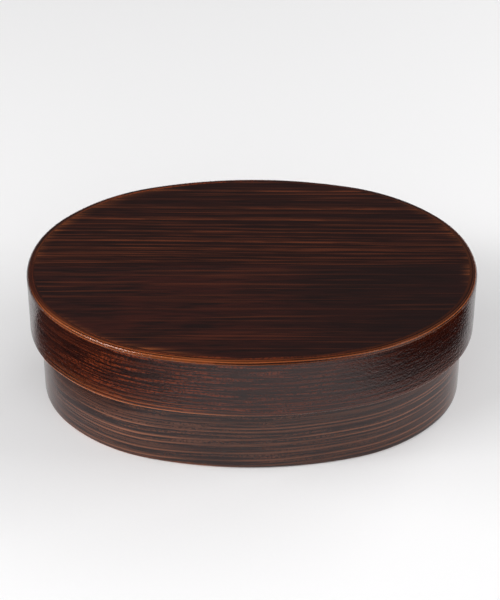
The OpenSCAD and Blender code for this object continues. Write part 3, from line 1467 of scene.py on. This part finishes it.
@dataclass(frozen=True)
class Studio:
    """Pale floor, black cards that paint dark reflections, soft lights and a dim room.

    Attributes:
        lights: The lights.
        cards: The cards.
        room: Strength of the room's even light.
        paper: Colour of the floor.
    """

    lights: tuple[SoftBox, ...] = (
        SoftBox("key_light", (-0.65, -0.38, 0.69), 0.50, 0.24, 4.1, True),
        SoftBox("front_right_light", (0.90, -0.80, 0.60), 1.00, 1.00, 3.5, True),
        SoftBox("front_light", (0.00, -0.90, 0.70), 1.20, 1.20, 3.9, False),
        SoftBox("low_left_light", (-1.20, 0.00, 0.35), 0.60, 0.60, 9.5, False),
        SoftBox("low_right_light", (1.20, 0.00, 0.35), 0.60, 0.60, 12.6, False),
        SoftBox("back_right_light", (0.90, 0.80, 0.70), 1.00, 1.00, 7.0, False),
    )
    cards: tuple[Card, ...] = (
        Card("left_dark_reflection_card", ((-0.15, -0.01, -0.111), (-0.03, -0.088, -0.113), (0.025, -0.115, -0.128)), 0.95),
        Card("right_dark_reflection_card", ((-0.15, 0.053, 0.116), (-0.048, 0.095, 0.126), (0.03, 0.13, 0.139)), 1.0),
    )
    room: float = 0.15
    paper: Colour = (0.87, 0.865, 0.87)

    def floor(self) -> Piece:
        """Lays a wide sheet of paper under the box.

        Returns:
            The sheet.
        """
        bpy.ops.object.select_all(action="DESELECT")
        bpy.ops.mesh.primitive_plane_add(size=FLOOR_SIZE, location=(0.0, 0.0, FLOOR_LEVEL))
        sheet = bpy.context.active_object
        sheet.name = "paper_floor"
        g = Graph("pale_paper")
        tooth = g.noise(g.place(), PAPER_TOOTH)
        shade = tuple(PAPER_SHADE * value for value in self.paper)
        colour = g.blend(tooth, shade, self.paper)
        sheet.data.materials.append(g.surface(colour, PAPER_ROUGHNESS, g.bump(tooth, PAPER_RELIEF)))
        return sheet

    def world(self) -> None:
        """Fills the room with dim even light."""
        world = bpy.data.worlds.new("dim_room")
        world.use_nodes = True
        back = world.node_tree.nodes["Background"]
        back.inputs["Color"].default_value = WHITE
        back.inputs["Strength"].default_value = self.room
        bpy.context.scene.world = world

    def build(self) -> list[Piece]:
        """Sets up the room, the view, the floor, the cards and the lights.

        Returns:
            The floor, the cards and the lights.
        """
        self.world()
        bpy.context.scene.view_settings.view_transform = "Standard"
        return [self.floor(), *(thing.build() for thing in (*self.cards, *self.lights))]


# Finishes of this box

LID_TONES = Tones(
    dark=(0.0085, 0.0013, 0.0008), body=(0.0220, 0.0032, 0.0014), line=(0.1700, 0.0280, 0.0065))
PLAIN_LINES = growth_lines(
    (-47.0, 0.60, 2.0), (-38.5, 0.50, 2.5), (-31.0, 0.60, 2.0), (-24.0, 0.45, 1.5), (-16.5, 0.55, 2.0),
    (-8.0, 0.50, 1.5), (7.0, 0.55, 2.0), (15.5, 0.45, 1.5), (22.0, 0.55, 2.0), (30.5, 0.50, 2.5),
    (37.0, 0.60, 2.0), (45.5, 0.50, 2.0),
)

LID_LACQUER = HoopFinish(
    name="lid_hoop_lacquer",
    tones=LID_TONES,
    lines=growth_lines((0.3, 0.95, 0.7), (2.2, 0.65, 0.7), (4.7, 0.55, 0.8), (6.9, 0.40, 0.8)),
    # The line at 28.1 mm, on the rim's rounding, is rubbed lacquer and a painted highlight of the rounding
    # as well.
    rubbed=growth_lines((0.5, 1.0, 1.0, 0.5), (28.1, 1.0, 0.8, 0.5), (30.6, 0.36, 1.6, 0.5)),
    faint=growth_lines(
        (2.4, 0.70, 0.6), (4.6, 0.60, 0.6), (6.6, 0.55, 0.6),
        (26.8, 0.90, 0.5, 0.4), (29.4, 0.85, 0.5, 0.4)),
    threads=0.25, streaks=0.95, pale_end=0.10, climb=-0.8 * MM, pebble=0.25 * MM,
)
BOX_LACQUER = HoopFinish(
    name="box_hoop_lacquer",
    tones=Tones(
        dark=(0.0090, 0.0014, 0.0010), body=(0.0200, 0.0030, 0.0016), line=(0.3700, 0.1350, 0.0690)),
    lines=growth_lines(
        (-1.5, 0.46, 1.5, 0.5), (1.5, 0.54, 1.4, 0.5), (5.3, 0.48, 1.5, 0.5), (9.9, 0.56, 1.3, 0.5),
        (12.7, 0.68, 1.5, 0.5), (17.8, 0.58, 1.2, 0.6), (19.8, 0.52, 1.6, 0.5), (23.5, 0.20, 1.4),
        (30.0, 0.50, 1.5), (38.0, 0.60, 2.0), (46.0, 0.50, 1.5)),
    rubbed=growth_lines((0.4, 0.8, 0.6)),
    faint=(),
    threads=0.19, streaks=0.24, pale_end=0.35, climb=4.2 * MM, pebble=0.05 * MM,
)
FRONT_LACQUER = PlankFinish(
    name="front_plank_lacquer",
    tones=Tones(
        dark=(0.0085, 0.0022, 0.0020), body=(0.0290, 0.0052, 0.0032), line=(0.1100, 0.0250, 0.0090)),
    tilt=0.3, shift=(0.31, 0.17, 0.0),
    lines=growth_lines(
        (-6.6, 0.25, 1.5), (-14.0, 0.20, 2.0), (-20.5, 0.25, 1.5), (-29.0, 0.20, 2.0), (-36.5, 0.22, 1.5),
        (-44.0, 0.18, 2.0)),
    streaks=0.42, cloud=0.62, dark_end=0.25,
)
BACK_LACQUER = PlankFinish(
    name="back_plank_lacquer",
    tones=Tones(
        dark=(0.0085, 0.0012, 0.0008), body=(0.0200, 0.0032, 0.0018), line=(0.1420, 0.0330, 0.0115)),
    tilt=1.2, shift=(0.05, 0.02, 0.0),
    lines=growth_lines(
        (52.7, 0.75, 2.0), (46.0, 0.20, 2.0), (39.5, 0.80, 3.5), (31.5, 0.80, 2.6), (28.0, 0.40, 1.2),
        (25.4, 0.30, 1.0), (23.0, 0.60, 1.5), (20.2, 0.40, 1.0), (18.3, 0.30, 1.0), (16.0, 0.75, 2.0),
        (13.4, 0.40, 1.0), (11.1, 0.65, 1.5), (8.4, 0.50, 1.2), (5.6, 0.60, 1.5), (3.9, 0.35, 0.8),
        (2.2, 0.50, 1.0)),
    streaks=0.42, cloud=0.15, dark_end=0.80,
)
BOTTOM_LACQUER = PlankFinish(
    name="bottom_lacquer", tones=Tones(), tilt=0.6, shift=(0.53, 0.41, 0.0), lines=PLAIN_LINES,
    streaks=0.5, cloud=0.5, dark_end=1.0,
)
DIVIDER_LACQUER = PlankFinish(
    name="divider_lacquer", tones=LID_TONES, tilt=90.0, shift=(0.71, 0.23, 0.0), lines=PLAIN_LINES,
    streaks=0.5, cloud=0.5, dark_end=1.0,
)


# The box

@dataclass(frozen=True)
class LunchBox:
    """The whole box: a lid and a box, each a hoop with two planks and its lacing, and a divider.

    Attributes:
        oval: Outline of the lid's outside.
        lid_rim: Rounding of the lid's upper edge.
        lid_reach: How far up from its lower edge the lid is rubbed.
        box_rim: Rounding of the box's upper edge.
        box_reach: How far up from its lower edge the box is rubbed.
        lid_stitches: Stitches of the lid's lacing.
        box_stitches: Stitches of the box's lacing.
        lacquer: How far lacquer fills the glue line round a plank.
    """

    oval: Oval
    lid_rim: float = 2.0 * MM
    lid_reach: float = 9.0 * MM
    box_rim: float = 0.8 * MM
    box_reach: float = 2.0 * MM
    lid_stitches: int = 3
    box_stitches: int = 7
    lacquer: float = 0.08 * MM

    def box_inset(self) -> float:
        """Inset of the box's outside from the lid's."""
        return self.oval.half_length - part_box("box_hoop")[1].x

    def hoops(self) -> list[BentHoop]:
        """Plans the two bent strips from the places of the CAD nodes.

        Returns:
            The lid's hoop and the box's hoop.
        """
        lid_low, lid_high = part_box("lid_hoop")
        box_low, box_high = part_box("box_hoop")
        lid = BentHoop(
            Owner("lid_hoop", "lid", "lid_hoop_lacquer"), LID_LACQUER, self.oval, outer=0.0,
            low=lid_low.z, high=lid_high.z, ledge=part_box("lid_top_plank_front")[0].z, board_above=True,
            rim=self.lid_rim, reach=self.lid_reach)
        box = BentHoop(
            Owner("box_hoop", "box", "box_hoop_lacquer"), BOX_LACQUER, self.oval, outer=self.box_inset(),
            low=box_low.z, high=box_high.z, ledge=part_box("bottom_plank_front")[1].z, board_above=False,
            rim=self.box_rim, reach=self.box_reach)
        return [lid, box]

    def planks(self) -> list[OvalPlank]:
        """Plans the four planks from the places of the CAD nodes.

        Returns:
            The lid's planks and the bottom's planks, the front one first.
        """
        plan = (
            (Owner("lid_top_plank_front", "lid", "front_plank_lacquer"), FRONT_LACQUER, Half.FRONT, 0.75),
            (Owner("lid_top_plank_back", "lid", "back_plank_lacquer"), BACK_LACQUER, Half.BACK, 0.60),
            (Owner("bottom_plank_front", "box", "bottom_lacquer"), BOTTOM_LACQUER, Half.FRONT, 0.2),
            (Owner("bottom_plank_back", "box", "bottom_lacquer"), BOTTOM_LACQUER, Half.BACK, 0.2),
        )
        planks = []
        for owner, finish, half, worn in plan:
            low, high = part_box(owner.node)
            inset = self.oval.half_length - high.x - self.lacquer
            planks.append(OvalPlank(owner, finish, self.oval, inset, low.z, high.z, half, worn))
        return planks

    def lacings(self) -> list[BarkLacing]:
        """Plans the bark lacings from the places of the CAD nodes.

        Returns:
            The lid's lacing and the box's lacing.
        """
        plan = (
            (Owner("lid_seam_lacing", "lid", "bark"), 0.0, self.lid_stitches),
            (Owner("box_seam_lacing", "box", "bark"), self.box_inset(), self.box_stitches),
        )
        lacings = []
        for owner, outer, stitches in plan:
            low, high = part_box(owner.node)
            lowest = low.z + BarkLacing.width / 2
            pitch = (high.z - low.z - BarkLacing.width) / (stitches - 1)
            heights = [lowest + pitch * stitch for stitch in range(stitches)]
            lacings.append(BarkLacing(owner, BarkFinish(), self.oval, outer, heights))
        return lacings

    def divider(self) -> DividerBoard:
        """Plans the divider from the place of its CAD node."""
        owner = Owner("divider_board", "divider", "divider_lacquer")
        return DividerBoard(owner, DIVIDER_LACQUER, *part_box("divider_board"))

    def parts(self) -> list[Part]:
        """Lists every piece in the order of building."""
        return [*self.hoops(), *self.planks(), *self.lacings(), self.divider()]


def main() -> None:
    """Builds the box, the stage and the camera, and reports each piece and each thing set in place."""
    logging.basicConfig(level=logging.INFO, format="%(name)s: %(message)s")
    low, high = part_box("lid_hoop")
    for part in LunchBox(Oval(high.x, -low.y)).parts():
        piece, owner = part.build(), part.owner
        faces = len(piece.data.polygons)
        LOG.info("%s stands for %s on %s, %d faces", piece.name, owner.node, owner.body, faces)
    for thing in (*Studio().build(), PhotoCamera().build()):
        LOG.info("%s is in place", thing.name)


if __name__ == "__main__":
    main()
